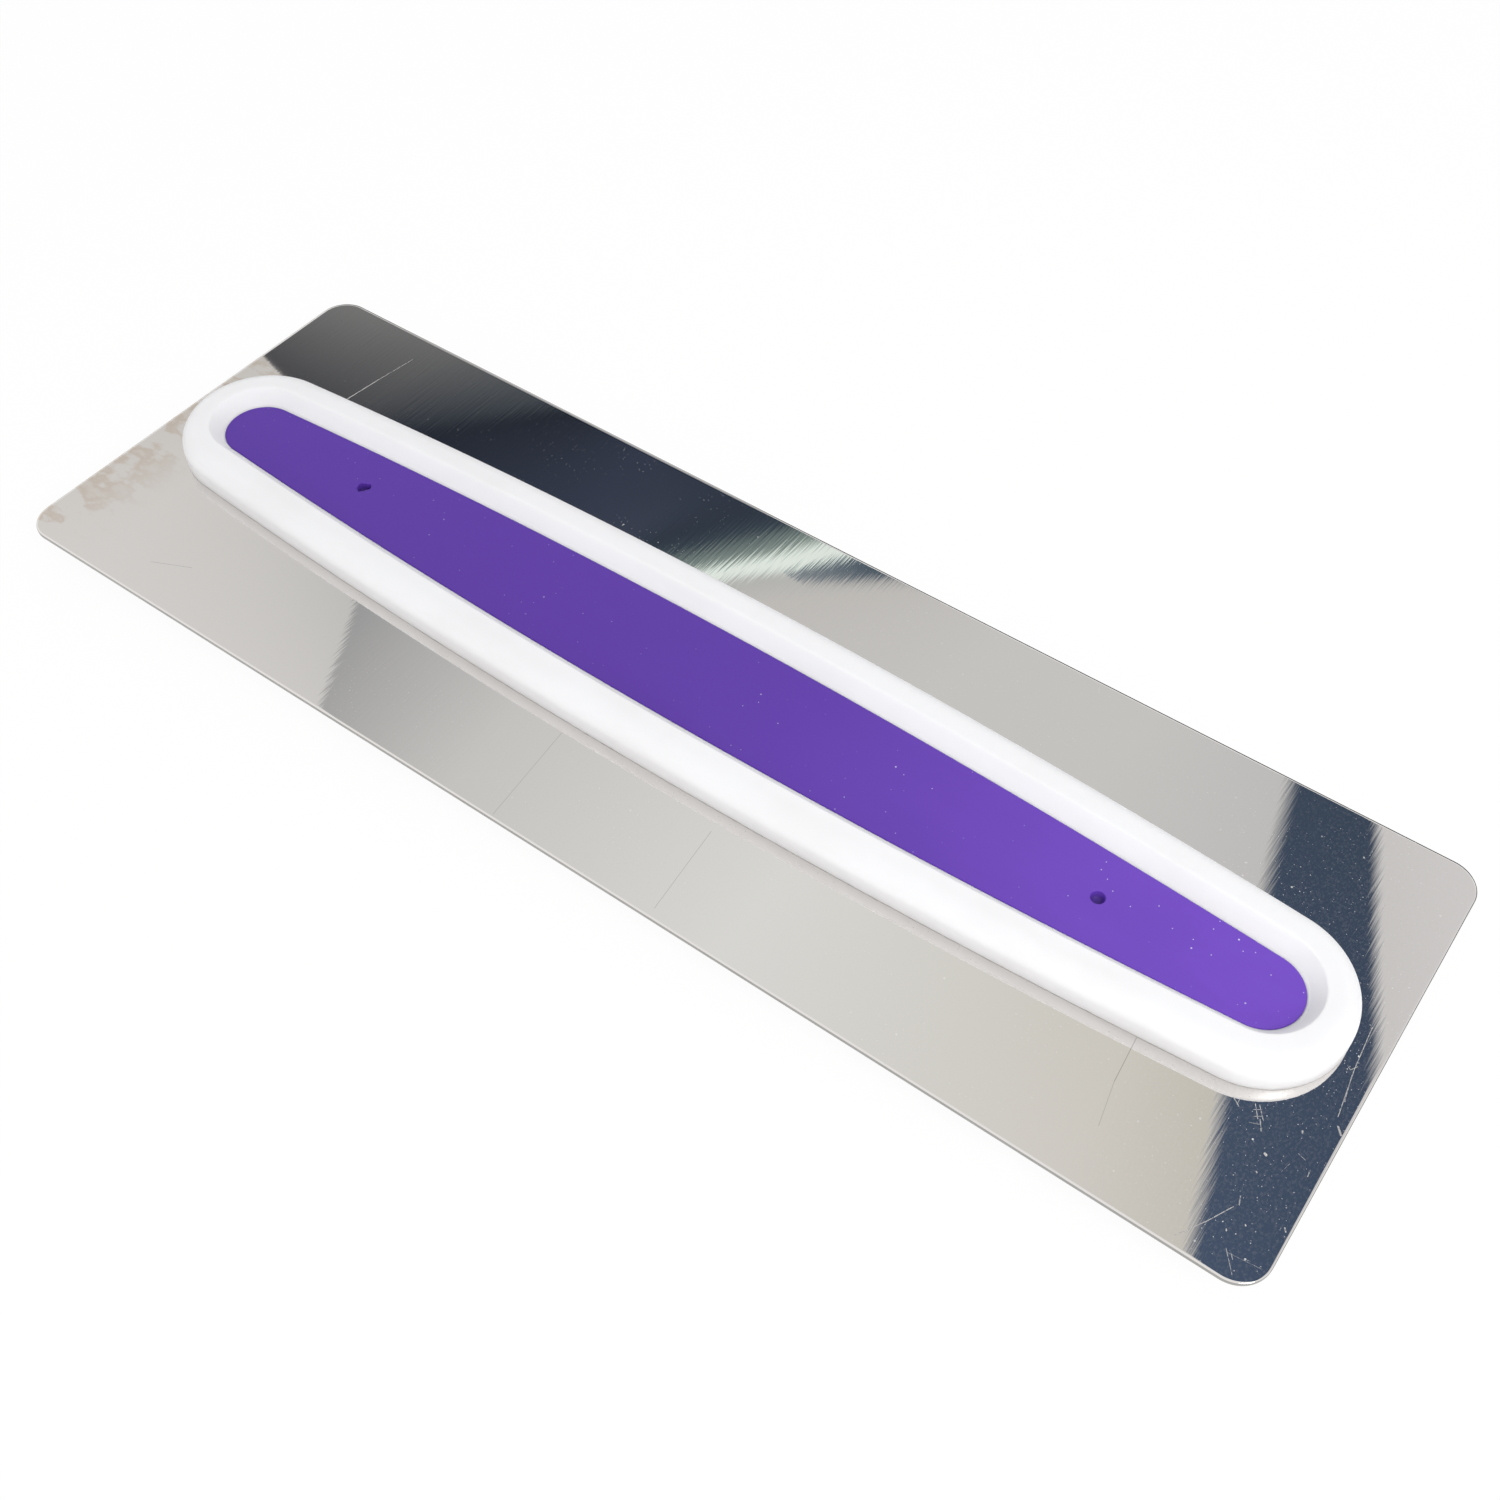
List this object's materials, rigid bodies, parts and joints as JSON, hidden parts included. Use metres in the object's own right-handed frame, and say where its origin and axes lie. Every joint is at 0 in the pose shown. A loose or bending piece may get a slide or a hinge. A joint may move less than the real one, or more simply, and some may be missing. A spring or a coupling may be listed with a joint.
{
  "type": "icing smoother",
  "caption": "Flat rectangular steel blade with rounded corners, clamped between two slim boat-shaped half-shells, each with a soft insert in its recess.",
  "frame": {"origin": "centre of the crest plane that the tool rests on, under the middle of the blade", "axes": "+X along the blade's long edges, +Y across the blade, +Z through the blade towards the front half-shell"},
  "size_m": [0.2286, 0.0762, 0.0124],
  "materials": {
    "steel": "bright-polished stainless sheet with a very fine cross grain",
    "white_plastic": "satin moulded white",
    "purple_soft": "satin-matte soft-touch purple"
  },
  "bodies": {
    "root": {"blade": "steel", "front_shell": "white_plastic", "back_shell": "white_plastic", "front_grip": "purple_soft", "back_grip": "purple_soft"}
  },
  "joints": []
}
